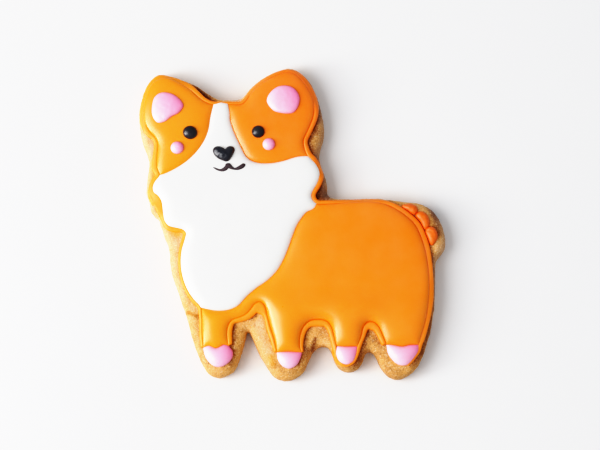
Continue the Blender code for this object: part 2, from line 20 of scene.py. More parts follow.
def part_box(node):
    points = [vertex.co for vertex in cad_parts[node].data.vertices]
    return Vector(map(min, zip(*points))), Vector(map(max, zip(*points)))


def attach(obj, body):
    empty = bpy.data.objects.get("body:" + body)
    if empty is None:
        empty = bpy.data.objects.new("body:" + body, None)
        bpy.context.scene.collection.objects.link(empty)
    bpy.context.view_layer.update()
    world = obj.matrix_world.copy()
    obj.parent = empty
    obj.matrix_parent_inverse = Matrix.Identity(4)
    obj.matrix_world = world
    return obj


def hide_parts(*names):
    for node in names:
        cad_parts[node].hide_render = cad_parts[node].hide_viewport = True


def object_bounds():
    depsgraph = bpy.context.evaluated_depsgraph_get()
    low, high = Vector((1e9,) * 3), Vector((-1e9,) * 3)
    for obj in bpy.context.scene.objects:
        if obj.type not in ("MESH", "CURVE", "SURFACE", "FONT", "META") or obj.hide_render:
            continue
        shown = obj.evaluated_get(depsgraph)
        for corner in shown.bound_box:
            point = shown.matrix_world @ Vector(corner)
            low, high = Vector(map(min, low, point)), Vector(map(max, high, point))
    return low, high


bl_info = {
    "name": "Iced gingerbread biscuit",
    "version": (1, 0, 0),
    "blender": (4, 5, 0),
    "location": "View3D > Sidebar > Biscuit",
    "description": "Bakes and ices a corgi-shaped gingerbread biscuit",
    "category": "Add Mesh",
}

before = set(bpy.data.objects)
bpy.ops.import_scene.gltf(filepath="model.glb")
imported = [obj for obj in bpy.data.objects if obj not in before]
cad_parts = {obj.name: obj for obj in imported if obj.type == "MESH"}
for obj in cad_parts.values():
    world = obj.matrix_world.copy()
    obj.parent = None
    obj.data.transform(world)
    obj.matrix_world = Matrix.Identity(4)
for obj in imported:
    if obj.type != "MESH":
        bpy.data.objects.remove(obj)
CAD_BOX = [list(corner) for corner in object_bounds()]

MM = 0.001
GAP = 0.3  # between solids that touch
OVERLAP = 0.1  # how far pieces of icing that touch reach past the middle of their crease
WAIST = 1.0  # height of the slab's widest outline
LEVEL = 0.01  # points this close in height lie on one level
DOUGH_STEP = 0.36  # between points of the bare dough
ICED_STEP = 2.4  # between points of the dough under the icing
CREASE_SHADE = 0.3  # how far the painted shade in an icing's creases reaches in from its edge
SET_IN = 0.25  # how deep a piece of icing reaches into what it lies on
CHUNK = 2000  # points handled at a time, which keeps the tables small
ICING_IOR = 1.46

# What the settings of one kind share.
COLOUR = {"size": 3, "subtype": "COLOR", "min": 0.0, "max": 1.0}
SHARE = {"subtype": "FACTOR", "min": 0.0, "max": 1.0}
PLACE = {"size": 3, "subtype": "TRANSLATION", "unit": "LENGTH"}

FLOODED = {
    "icing_head_left": "orange_icing",
    "icing_head_right": "orange_icing",
    "icing_coat": "orange_icing",
    "icing_white": "white_icing",
}
TOES = ("toe_1", "toe_2", "toe_3", "toe_4")
# Runs of the piped line with their strokes, clockwise round the biscuit, and the toe that follows each.
PIPED = {
    "piped_edge_round_coat": (("line_chest", "line_head", "line_back"), "toe_4"),
    "piped_edge_hind_legs": (("line_hind_legs", "line_belly"), "toe_2"),
    "piped_edge_front_legs": (("line_front_legs", "line_leg_1"), "toe_1"),
}

# Soft marks on the dough, real browning and painted shade as each row says: (strength, start, end, half width
# in millimetres). Places are parts of its box.
BROWNED_AND_SHADED = (
    (0.30, (0.585, 0.74), (0.588, 0.84), 3.0),  # painted shade beside the right ear, on its side away from the light
    (1.3, (0.585, 0.60), (0.605, 0.585), 2.0),  # painted shade in the corner of the neck
    (-0.10, (0.955, 0.20), (0.985, 0.44), 2.6),  # rump
    (-0.28, (0.393, 0.184), (0.423, 0.07), 2.2),  # flank of the second leg
    (-0.18, (0.57, 0.13), (0.60, 0.12), 2.0),  # between the second and third legs
    (-0.15, (0.80, 0.06), (0.90, 0.035), 2.5),  # fourth foot
    (0.65, (0.925, 0.605), (0.968, 0.535), 1.5),  # painted shade outside the tail, on the side away from the light; with the next row
    (0.65, (0.968, 0.535), (0.975, 0.465), 1.5),
    (1.0, (0.180, 0.925), (0.245, 0.884), 1.6),  # painted shadow at the brow, beside the left ear
    (0.45, (0.576, 0.128), (0.566, 0.095), 0.7),  # partly browner crust, partly painted shade on the slope under the belly that faces away from the light
    (0.8, (0.164, 0.213), (0.196, 0.198), 0.6),  # crack in the chest above the first leg
    (0.4, (0.434, 0.066), (0.441, 0.050), 1.1),  # second foot
)
SMEARED = (
    (0.75, (0.117, 0.468), (0.130, 0.462), 1.2),  # notch of the chest
    (0.6, (0.045, 0.69), (0.056, 0.60), 1.3),  # beside the left cheek
    (0.4, (0.164, 0.213), (0.196, 0.198), 0.6),  # crack in the chest above the first leg
    (0.5, (0.434, 0.066), (0.441, 0.050), 1.1),  # second foot
    (0.45, (0.822, 0.070), (0.832, 0.058), 0.9),  # fourth foot
)
# Tone curve with a soft shoulder for the brightest tones, so that white icing keeps its shape.
TONES = (
    (0.025, 0.007), (0.05, 0.035), (0.075, 0.08), (0.15, 0.27), (0.225, 0.46), (0.30, 0.64), (0.375, 0.80),
    (0.42, 0.875), (0.46, 0.912), (0.5, 0.930), (0.54, 0.942), (0.59, 0.966), (0.68, 0.982), (0.9, 0.995),
)


# ---------------------------------------------------------------- outlines, which run clockwise

def outline_of(node, height=None):
    """Outline of a solid at its base, or where its side has a ring of points at the given height."""
    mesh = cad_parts[node].data
    points = np.array([v.co for v in mesh.vertices]) / MM
    level = points[:, 2].min() if height is None else height
    flat = np.abs(points[:, 2] - level) < LEVEL
    key = [tuple(p) for p in np.round(points[:, :2] * 1000).astype(int)]
    place = {k: points[i, :2] for i, k in enumerate(key) if flat[i]}
    uses = {}
    for face in mesh.polygons:
        corners = list(face.vertices)
        lies_flat = all(flat[corners])
        for a, b in zip(corners, corners[1:] + corners[:1]):
            if flat[a] and flat[b] and key[a] != key[b] and lies_flat == (height is None):
                edge = frozenset((key[a], key[b]))
                uses[edge] = uses.get(edge, 0) + 1
    beside = {}
    for edge, count in uses.items():
        if height is not None or count == 1:
            a, b = edge
            beside.setdefault(a, []).append(b)
            beside.setdefault(b, []).append(a)
    start = min(beside)
    chain = [start, min(beside[start])]
    while chain[-1] != start:
        chain.append(next(k for k in beside[chain[-1]] if k != chain[-2]))
    loop = np.array([place[k] for k in chain[:-1]])
    return loop if turned_area(loop) < 0 else loop[::-1]


def turned_area(loop):
    """Area inside a loop: below zero if it runs clockwise."""
    x, y = loop.T
    return 0.5 * float(np.sum(x * np.roll(y, -1) - np.roll(x, -1) * y))


def left_of(line, closed=True):
    """Normals to the left of a loop, or of an open line, longer at its corners."""
    after = np.roll(line, -1, 0) - line
    after = after / np.linalg.norm(after, axis=1)[:, None]
    before = np.roll(after, 1, 0)
    if not closed:
        after[-1], before[0] = before[-1], after[0]
    along = before + after
    normal = np.column_stack((-along[:, 1], along[:, 0])) / np.linalg.norm(along, axis=1)[:, None]
    across = before[:, 0] * normal[:, 1] - before[:, 1] * normal[:, 0]
    return normal / np.maximum(across, 0.55)[:, None]


def grown(line, distance, closed=True):
    """A line moved to its left, which is outwards for a loop."""
    return line + left_of(line, closed) * np.reshape(distance, (-1, 1))


def smooth(loop, step, corner=50.0):
    """Fine points along a closed Catmull-Rom curve through a loop that stays sharp where it turns further."""
    after = np.roll(loop, -1, 0) - loop
    before = np.roll(after, 1, 0)
    turn = np.arctan2(before[:, 0] * after[:, 1] - before[:, 1] * after[:, 0], (before * after).sum(1))
    sharp = np.abs(turn) > radians(corner)
    fine = []
    for i in range(len(loop)):
        a, b, c, d = (loop[(i + k) % len(loop)] for k in (-1, 0, 1, 2))
        a = 2 * b - c if sharp[i] else a
        d = 2 * c - b if sharp[(i + 1) % len(loop)] else d
        ta, tb, tc, td = np.cumsum([0.0] + [hypot(*(q - p)) ** 0.5 for p, q in ((a, b), (b, c), (c, d))])
        t = np.linspace(tb, tc, max(1, ceil(hypot(*(c - b)) / step)), endpoint=False)[:, None]
        ab, bc, cd = (
            (p * (end - t) + q * (t - start)) / (end - start)
            for p, q, start, end in ((a, b, ta, tb), (b, c, tb, tc), (c, d, tc, td))
        )
        abc = (ab * (tc - t) + bc * (t - ta)) / (tc - ta)
        bcd = (bc * (td - t) + cd * (t - tb)) / (td - tb)
        fine.append((abc * (tc - t) + bcd * (t - tb)) / (tc - tb))
    return np.vstack(fine)


def nearest(points, line, closed=True):
    """Distance of each point from a loop, or from an open line, and the index of the line's nearest point."""
    tree = KDTree(len(line))
    for i, p in enumerate(line):
        tree.insert((p[0], p[1], 0.0), i)
    tree.balance()
    index = np.array([tree.find((p[0], p[1], 0.0))[1] for p in points], int)
    distance = np.full(len(points), np.inf)
    for start in (index - 1, index):
        start = start % len(line) if closed else np.clip(start, 0, len(line) - 2)
        a, run = line[start], line[(start + 1) % len(line)] - line[start]
        part = np.clip(((points - a) * run).sum(1) / (run * run).sum(1), 0.0, 1.0)[:, None]
        distance = np.minimum(distance, np.linalg.norm(points - a - part * run, axis=1))
    return distance, index


def inside(points, loop):
    """Which points lie inside a closed loop."""
    x0, y0 = loop.T
    x1, y1 = np.roll(x0, -1), np.roll(y0, -1)
    rise = np.where(y1 == y0, 1e-12, y1 - y0)
    found = []
    for part in np.array_split(points, max(1, ceil(len(points) / CHUNK))):
        x, y = part[:, :1], part[:, 1:2]
        crossed = ((y0 > y) != (y1 > y)) & (x < x0 + (y - y0) * (x1 - x0) / rise)
        found.append(crossed.sum(1) % 2 == 1)
    return np.concatenate(found)


def averaged(values, reach):
    """Running mean round a closed loop."""
    return sum(np.roll(values, k) for k in range(-reach, reach + 1)) / (2 * reach + 1)


def eased(values):
    """Values held between 0 and 1, with soft ends."""
    values = np.clip(values, 0.0, 1.0)
    return values * values * (3.0 - 2.0 * values)


def frame_top(node):
    """Height of a solid's top."""
    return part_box(node)[1][2] / MM


def place(across, along):
    """Point at the given parts of the width and depth of the biscuit's box."""
    low, high = (np.array(corner[:2]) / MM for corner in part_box("biscuit"))
    return low + (high - low) * (across, along)


def parted(loop, areas, reach):
    """Stretch of a loop away from all the given areas, and the rest of it that lies within reach of one."""
    near = np.min([nearest(loop, area)[0] for area in areas], axis=0) < reach
    first = next(i for i in range(len(loop)) if near[i - 1] and not near[i])
    loop, near = np.roll(loop, -first, 0), np.roll(near, -first)
    count = int(np.argmax(near))
    return loop[:count], loop[count:][near[count:]]


def piped_run(strokes):
    """Inner and outer edge of a run of the piped line. Where the slab hardly shows, the line covers it."""
    areas = [smooth(outline_of(node), GAP) for node in (*FLOODED, *TOES)]
    inner, outer = [], []
    for node in strokes:
        bare, iced = parted(outline_of(node), areas, 1.8 * GAP)
        outer.append(bare)
        inner.append(iced[::-1])
    inner, outer = np.vstack(inner), np.vstack(outer)
    room, _ = nearest(outer, smooth(outline_of("biscuit", WAIST), 0.4))
    narrow = np.clip((0.8 - room) / 0.25, 0.0, 1.0)
    drip = np.linalg.norm(outer - place(0.052, 0.572), axis=1)  # where the line ran over the chest
    part = np.maximum(narrow, np.clip(1.6 * np.exp(-((drip / 2.2) ** 2)), 0.0, 1.0))
    run_out = averaged(part * np.maximum(room - 0.15, 0.0), 1)
    return grown(inner, -GAP / 2 - OVERLAP, closed=False), grown(outer, run_out, closed=False)


def iced_edge():
    """Outer edge of all the icing on the slab: the piped runs and the bare sides of three toes."""
    coat = smooth(outline_of("icing_coat"), GAP)
    edge = []
    for strokes, toe in PIPED.values():
        edge.append(piped_run(strokes)[1])
        lines = [smooth(outline_of(node), GAP) for node in strokes]
        edge.append(parted(grown(outline_of(toe), GAP / 2), (coat, *lines), 2.0 * GAP)[0])
    return smooth(np.vstack(edge), 0.4)


# ---------------------------------------------------------------- surfaces over an outline

def triangles_in(points, loops):
    """Triangles that fill the first loop outside the others. Loops hold indices of points."""
    edges = [(int(a), int(b)) for loop in loops for a, b in zip(loop, np.roll(loop, -1))]
    flat = [Vector(map(float, p)) for p in points]
    _, _, faces, origins, _, _ = delaunay_2d_cdt(flat, edges, [], 1, 1e-6)
    if any(not found for found in origins):
        raise RuntimeError("an outline crosses itself")
    faces = np.array([[origins[i][0] for i in face] for face in faces])
    a, b, c = (points[faces[:, k]] for k in range(3))
    turned = (b[:, 0] - a[:, 0]) * (c[:, 1] - a[:, 1]) - (b[:, 1] - a[:, 1]) * (c[:, 0] - a[:, 0]) < 0
    faces[turned] = faces[turned][:, ::-1]
    for loop in loops[1:]:
        faces = faces[~inside(points[faces].mean(1), points[loop])]
    return faces


def hexagonal(low, high, spacing):
    """Even points all over a rectangle, in staggered rows."""
    rows = np.arange(low[1], high[1], spacing * 0.866)
    across = np.arange(low[0], high[0], spacing)
    return np.array([(x + 0.5 * spacing * (n % 2), y) for n, y in enumerate(rows) for x in across])


class Sheet:
    """Flat triangles inside a clockwise loop and outside any others, on which heights are worked out."""

    def __init__(self, loops, rings, spacing, within=None):
        loops = [loops[0]] + [loop[::-1] for loop in loops[1:]]
        rim = np.vstack(loops)
        ends = np.cumsum([len(loop) for loop in loops])
        self.loops = np.split(np.arange(len(rim)), ends[:-1])
        found = []
        for ring in rings:
            candidates = np.vstack([grown(loop, -ring) for loop in loops])
            cells = np.round(candidates / min(0.6 * spacing, 1.2 * ring)).astype(int)
            found.append(candidates[np.sort(np.unique(cells, axis=0, return_index=True)[1])])
            found[-1] = found[-1][self._clear(found[-1], loops) > 0.93 * ring]
        if within is None:
            within = hexagonal(rim.min(0), rim.max(0), spacing)
            last = rings[-1] if len(rings) else 0.0
            within = within[self._clear(within, loops) > last + 0.5 * spacing]
        self.points = np.vstack([rim] + found + [within])
        self.rim = len(rim)
        self.faces = triangles_in(self.points, self.loops)
        self._weigh()

    @staticmethod
    def _clear(points, loops):
        """Distance from the rim, below zero outside it."""
        distance = np.min([nearest(points, loop)[0] for loop in loops], axis=0)
        outside = ~inside(points, loops[0])
        for loop in loops[1:]:
            outside |= inside(points, loop)
        return np.where(outside, -distance, distance)

    def _weigh(self):
        """How strongly neighbouring points pull on each other, and each point's share of the area."""
        count = len(self.points)
        starts, ends, pulls = [], [], []
        self.share = np.zeros(count)
        for k in range(3):
            a, b, c = (self.faces[:, (k + n) % 3] for n in range(3))
            u, v = self.points[a] - self.points[c], self.points[b] - self.points[c]
            twice = np.maximum(np.abs(u[:, 0] * v[:, 1] - u[:, 1] * v[:, 0]), 1e-9)
            starts.append(a)
            ends.append(b)
            pulls.append(np.clip(0.5 * (u * v).sum(1) / twice, 0.0, 50.0))
            self.share += np.bincount(a, twice / 6.0, count)
        self.start, self.end, self.pull = (np.concatenate(x) for x in (starts, ends, pulls))
        self.total = np.bincount(self.start, self.pull, count) + np.bincount(self.end, self.pull, count)

    def settled(self, rim=0.0, source=0.0, hold=0.0):
        """Heights at rest under an even source and an even hold, with the rim kept at its own heights."""
        count = len(self.points)
        free = np.arange(count) >= self.rim
        heights = np.zeros(count)
        heights[: self.rim] = rim

        def pulled(x):
            near = np.bincount(self.start, self.pull * x[self.end], count)
            near += np.bincount(self.end, self.pull * x[self.start], count)
            return self.total * x - near + hold * self.share * x

        scale = self.total + hold * self.share
        scale[scale == 0.0] = 1.0
        rest = np.where(free, source * self.share - pulled(heights), 0.0)
        goal = 1e-6 * max(np.abs(rest / scale).max(), 1e-12)
        step = rest / scale
        size = rest @ step
        for _ in range(2000):
            moved = np.where(free, pulled(step), 0.0)
            length = size / (step @ moved)
            heights += length * step
            rest -= length * moved
            left = rest / scale
            if np.abs(left).max() < goal:
                break
            size, before = rest @ left, size
            step = left + step * size / before
        return heights

    def bead(self):
        """Height of a round bead over the sheet: half its width along the middle of a stretch."""
        return np.sqrt(2.0 * np.maximum(self.settled(source=1.0), 0.0))


def make_piece(name, points, faces, material, attributes, sharp=50.0):
    """Smooth mesh object, in metres."""
    mesh = bpy.data.meshes.new(name)
    mesh.from_pydata((np.asarray(points) * MM).tolist(), [], [list(map(int, f)) for f in faces])
    if mesh.validate():
        raise RuntimeError(f"{name} has a bad face")
    for key, values in attributes.items():
        mesh.attributes.new(key, "FLOAT", "POINT").data.foreach_set("value", np.asarray(values, np.float32))
    mesh.materials.append(material)
    mesh.shade_smooth()
    mesh.set_sharp_from_angle(angle=radians(sharp))
    piece = bpy.data.objects.new(name, mesh)
    bpy.context.scene.collection.objects.link(piece)
    return piece


def make_body(name, sheet, top, foot, material, attributes):
    """Closed body under a sheet of heights, with an upright wall down to its foot and a flat underside."""
    count = len(sheet.points)
    foot = np.broadcast_to(foot, sheet.rim)
    points = np.vstack((
        np.column_stack((sheet.points, top)), np.column_stack((sheet.points[: sheet.rim], foot)),
    ))
    faces = [tuple(face) for face in sheet.faces]
    for loop in sheet.loops:
        for a, b in zip(loop, np.roll(loop, -1)):
            faces.append((a, b, count + b, count + a))
    under = triangles_in(sheet.points[: sheet.rim], sheet.loops)
    faces += [tuple(count + face[::-1]) for face in under]
    values = {key: np.concatenate((value, value[: sheet.rim])) for key, value in attributes.items()}
    return make_piece(name, points, faces, material, values)


def lumps(points, size, seed=0.0):
    """Smooth noise from -1 to 1 at each point, with lumps of about the given size."""
    flat = np.zeros((len(points), 3))
    flat[:, : points.shape[1]] = points
    return np.array([noise.noise(Vector(p)) for p in flat / size + (seed, 1.7 * seed, 2.3 * seed)])


# ---------------------------------------------------------------- finishes

def fill(tree, node, inputs):
    """Give a node its inputs: a socket is linked, anything else is set."""
    for key, value in inputs.items():
        if isinstance(value, bpy.types.NodeSocket):
            tree.links.new(value, node.inputs[key])
        else:
            node.inputs[key].default_value = value


def add(tree, kind, inputs=None, **settings):
    """New node with its settings and inputs."""
    made = tree.nodes.new(kind)
    for key, value in settings.items():
        setattr(made, key, value)
    fill(tree, made, inputs or {})
    return made


def blend(tree, factor, a, b):
    """Mix of two colours."""
    a, b = (c if isinstance(c, bpy.types.NodeSocket) else (*c[:3], 1.0) for c in (a, b))
    return add(tree, "ShaderNodeMix", {0: factor, 6: a, 7: b}, data_type="RGBA").outputs[2]


def worked(tree, operation, a, b):
    """Sum or product of two numbers."""
    return add(tree, "ShaderNodeMath", {0: a, 1: b}, operation=operation).outputs[0]


def painted(tree, name):
    """Number that a mesh carries at each of its points."""
    return add(tree, "ShaderNodeAttribute", attribute_name=name).outputs["Fac"]


def ramp(tree, factor, start, end, low=0.0, high=1.0):
    """Number that runs from low to high as the factor goes from start to end."""
    limits = {"Value": factor, "From Min": start, "From Max": end, "To Min": low, "To Max": high}
    return add(tree, "ShaderNodeMapRange", limits, clamp=True).outputs[0]


def grains(tree, place, size, detail=2.0, roughness=0.5):
    """Noise with lumps of about the given size in millimetres."""
    inputs = {"Vector": place, "Scale": 1.0 / (size * MM), "Detail": detail, "Roughness": roughness}
    return add(tree, "ShaderNodeTexNoise", inputs).outputs[0]


def bumps(tree, height, strength, depth, under=None):
    """Fine relief of the given depth in millimetres, over any other relief."""
    inputs = {"Height": height, "Strength": strength, "Distance": depth * MM}
    if under is not None:
        inputs["Normal"] = under
    return add(tree, "ShaderNodeBump", inputs).outputs[0]


def new_finish(name):
    """Material with a node tree: its tree, shader and the place on the object."""
    material = bpy.data.materials.new(name)
    material.use_nodes = True
    tree = material.node_tree
    place = add(tree, "ShaderNodeTexCoord").outputs["Object"]
    return material, tree, tree.nodes["Principled BSDF"], place


def icing_finish(name, colour, painted_shade, roughness, glow, glow_reach, relief, thin_and_lit=None):
    """Set royal icing: an even colour with painted shade in its creases, paler where it lies thin and, as
    painted light, on its side towards the light, with a faint grain.
    """
    material, tree, shader, place = new_finish(name)
    broad = ramp(tree, grains(tree, place, 7.0, 3.0), 0.3, 0.7)
    paler = tuple(1.0 - (1.0 - c) * 0.96 for c in colour)
    darker = tuple(c * 0.97 for c in colour)
    surface = blend(tree, broad, darker, paler)
    # Paler on the side towards the light: painted light, and for the orange also thinner icing.
    if thin_and_lit is not None:
        surface = blend(tree, painted(tree, "thin_and_lit"), surface, thin_and_lit)
        colour = tuple(0.5 * (a + b) for a, b in zip(colour, thin_and_lit))
    fine = ramp(tree, grains(tree, place, 0.5, 2.0), 0.35, 0.65, 0.0, 0.12)
    surface = blend(tree, fine, surface, tuple(c * 0.9 for c in colour))
    skin = bumps(tree, grains(tree, place, 0.22, 3.0), relief, 0.05)
    fill(tree, shader, {
        # Painted shade in the creases.
        "Base Color": blend(tree, painted(tree, "crease"), surface, painted_shade),
        "Roughness": ramp(tree, grains(tree, place, 5.0, 1.0), 0.2, 0.8, roughness - 0.04, roughness + 0.05),
        "Specular IOR Level": bpy.context.scene.biscuit_icing.sheen,
        "IOR": ICING_IOR,
        "Subsurface Weight": glow,
        "Subsurface Radius": glow_reach,
        "Subsurface Scale": MM,
        "Normal": bumps(tree, grains(tree, place, 1.6, 2.0), relief, 0.12, skin),
    })
    return material


def gingerbread_finish(settings):
    """Baked dough: sandy and pale to brown, with painted shade carried in the same browning mask, light
    grains of sugar, a few specks of spice and smears.
    """
    material, tree, shader, place = new_finish("baked_gingerbread")
    mottle = grains(tree, place, 2.6, 4.0, 0.6)
    crumb = grains(tree, place, 0.45, 3.0, 0.6)
    browning_and_shade = worked(tree, "ADD", painted(tree, "baked_and_shaded"), ramp(tree, mottle, 0.25, 0.75, -0.2, 0.2))
    browning_and_shade = worked(tree, "ADD", browning_and_shade, ramp(tree, crumb, 0.3, 0.7, -0.16, 0.16))
    golden = blend(tree, ramp(tree, browning_and_shade, 0.0, 0.5), settings.pale, settings.golden)
    surface = blend(tree, ramp(tree, browning_and_shade, 0.5, 1.0), golden, settings.brown)
    # Past 1 the dough runs to the colour of spice: painted shade in the darkest corners.
    surface = blend(tree, ramp(tree, browning_and_shade, 1.0, 1.6), surface, settings.spice)
    # Dull grey edge: partly dust, partly painted shade.
    surface = blend(tree, painted(tree, "dust_and_shade"), surface, settings.dust_and_shade)
    specks = add(tree, "ShaderNodeTexVoronoi", {"Vector": place, "Scale": 1.0 / (2.1 * MM)})
    speck = ramp(tree, specks.outputs["Distance"], 0.06, 0.12, 0.6, 0.0)
    surface = blend(tree, speck, surface, settings.spice)
    sugar = ramp(tree, grains(tree, place, 0.38, 2.0, 0.7), 0.55, 0.66, 0.0, 0.5)
    sugar = worked(tree, "MULTIPLY", sugar, ramp(tree, browning_and_shade, 0.8, 1.4, 1.0, 0.15))
    surface = blend(tree, sugar, surface, settings.sugar)
    coarse = bumps(tree, crumb, 1.0, 0.32)
    fill(tree, shader, {
        "Base Color": blend(tree, painted(tree, "stained"), surface, settings.stain),
        "Roughness": ramp(tree, crumb, 0.3, 0.7, 0.62, 0.85),
        "Normal": bumps(tree, grains(tree, place, 0.16, 2.0), 0.5, 0.07, coarse),
    })
    return material


def icing_colour(kind):
    """Finish of one kind of icing, made once."""
    name = f"set_{kind}"
    if name in bpy.data.materials:
        return bpy.data.materials[name]
    icing = bpy.context.scene.biscuit_icing
    orange = (icing.orange, icing.orange_crease_shade)
    orange_glow = (icing.glow, (1.0, 0.35, 0.1), 0.12, icing.orange_thin_and_lit)
    no_glow = (0.0, (1.0, 1.0, 1.0))
    # Colour, colour of the painted shade in creases, roughness, glow and its reach, relief, and colour where
    # it lies thin and on its lit side, a painted light.
    looks = {
        "orange_icing": (*orange, icing.roughness, *orange_glow),
        "piped_icing": (*orange, icing.piped_roughness, *orange_glow),
        "white_icing": (icing.white, icing.white_crease_shade, icing.roughness, icing.glow, (1.0, 0.9, 0.8), 0.15),
        "pink_icing": (
            icing.pink, icing.pink_edge_shade, icing.roughness, icing.glow, (1.0, 0.7, 0.8), 0.15,
            icing.pink_lit,
        ),
        "nose_icing": (icing.nose, icing.black_edge, 0.30, *no_glow, 1.0),
        "mouth_icing": (icing.mouth, icing.black, 0.6, *no_glow, 0.4),
        "black_icing": (icing.black, icing.black_edge, icing.black_roughness, *no_glow, 0.3),
    }
    return icing_finish(name, *looks[kind])


def slab_outline():
    """Fine widest outline of the slab, and how far in its shoulder reaches from each point."""
    slab = bpy.context.scene.biscuit_slab
    loop = smooth(outline_of("biscuit", WAIST), DOUGH_STEP)
    bare, _ = nearest(loop, iced_edge())
    shoulder = np.clip(averaged(0.95 * bare, 6), 1.1, slab.shoulder / MM)
    return loop, averaged(shoulder, 10)


def slab_height(points, loop, shoulder):
    """Height of the slab's top at each point inside its outline."""
    slab = bpy.context.scene.biscuit_slab
    top = frame_top("biscuit")
    distance, index = nearest(points, loop)
    part = np.clip(distance / shoulder[index], 0.0, 1.0)
    return top - slab.drop / MM * (1.0 - np.sqrt(1.0 - (1.0 - part) ** 2))


def face_normals(points, faces):
    """Normals of a mesh at its points, from the triangles and four-sided faces round them."""
    normal = np.zeros((len(points), 3))
    for corners in (3, 4):
        face = np.array([f for f in faces if len(f) == corners])
        across = np.cross(points[face[:, 2]] - points[face[:, 0]], points[face[:, -1]] - points[face[:, 1]])
        for k in range(corners):
            for axis in range(3):
                normal[:, axis] += np.bincount(face[:, k], across[:, axis], len(points))
    return normal / np.maximum(np.linalg.norm(normal, axis=1), 1e-9)[:, None]


def marks(points, table):
    """How strongly the soft marks of a table show at each point."""
    shown = np.zeros(len(points))
    for strength, start, end, size in table:
        away, _ = nearest(points, np.array((place(*start), place(*end))), closed=False)
        shown += strength * np.exp(-((away / size) ** 2))
    return shown


class SlabSettings(PropertyGroup):
    """Sizes and colours of the baked slab."""

    shoulder: FloatProperty(
        name="Shoulder width",
        description="How far in the rounded upper edge reaches where the dough is bare",
        default=0.0032, min=0.0005, unit="LENGTH",
    )
    drop: FloatProperty(
        name="Shoulder drop", description="Height of the rounded upper edge",
        default=0.0026, min=0.0005, unit="LENGTH",
    )
    crumb: FloatProperty(
        name="Crumb relief", description="Depth of the grains on the baked surface",
        default=0.00009, min=0.0, unit="LENGTH",
    )
    pale: FloatVectorProperty(
        name="Pale dough", description="Colour where the oven browned it least",
        default=(0.92, 0.57, 0.33), **COLOUR,
    )
    golden: FloatVectorProperty(
        name="Golden dough", description="Colour of well baked dough", default=(0.80, 0.42, 0.15), **COLOUR,
    )
    brown: FloatVectorProperty(
        name="Brown dough", description="Colour of the darkest baked dough",
        default=(0.34, 0.13, 0.042), **COLOUR,
    )
    spice: FloatVectorProperty(
        name="Spice", description="Colour of the specks of spice", default=(0.13, 0.045, 0.015), **COLOUR,
    )
    sugar: FloatVectorProperty(
        name="Sugar", description="Colour of the light grains of sugar", default=(0.97, 0.80, 0.55), **COLOUR,
    )
    stain: FloatVectorProperty(
        name="Smear", description="Colour where thin icing has run on the dough",
        default=(1.0, 0.44, 0.06), **COLOUR,
    )
    # Partly dust, partly painted shade on the side away from the light.
    dust_and_shade: FloatVectorProperty(
        name="Floury dough", description="Dull colour of the dusty edge on the side away from the chest",
        default=(0.40, 0.275, 0.215), **COLOUR,
    )


